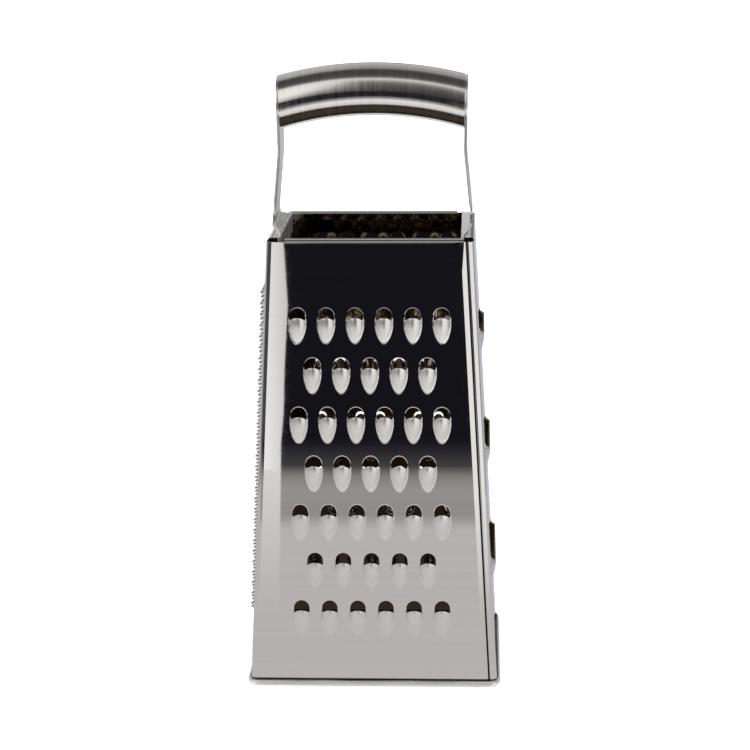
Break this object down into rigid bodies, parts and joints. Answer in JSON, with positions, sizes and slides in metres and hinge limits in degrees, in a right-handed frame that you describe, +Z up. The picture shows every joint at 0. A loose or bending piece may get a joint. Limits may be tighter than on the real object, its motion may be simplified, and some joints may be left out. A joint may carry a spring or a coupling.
{
  "type": "box grater",
  "caption": "Free-standing four-sided sheet-steel kitchen grater with coarse, fine, medium and slicing walls, open top and foot, and a bowed tube handle on two straps.",
  "frame": {"origin": "middle of the foot, on the surface that the grater stands on", "axes": "+Z up to the handle, +X to the slicing wall, -Y to the coarse wall in front"},
  "size_m": [0.1078, 0.0878, 0.2604],
  "materials": {
    "sheet_steel": "polished sheet with a faint level grain",
    "rim_steel": "satin",
    "strap_steel": "satin",
    "grip_steel": "turned satin, with fine lines round the tube"
  },
  "bodies": {
    "root": {"coarse_and_fine_sheet": "sheet_steel", "slicing_and_medium_sheet": "sheet_steel", "base_rim": "rim_steel", "right_strap": "strap_steel", "left_strap": "strap_steel", "grip_tube": "grip_steel"}
  },
  "joints": []
}
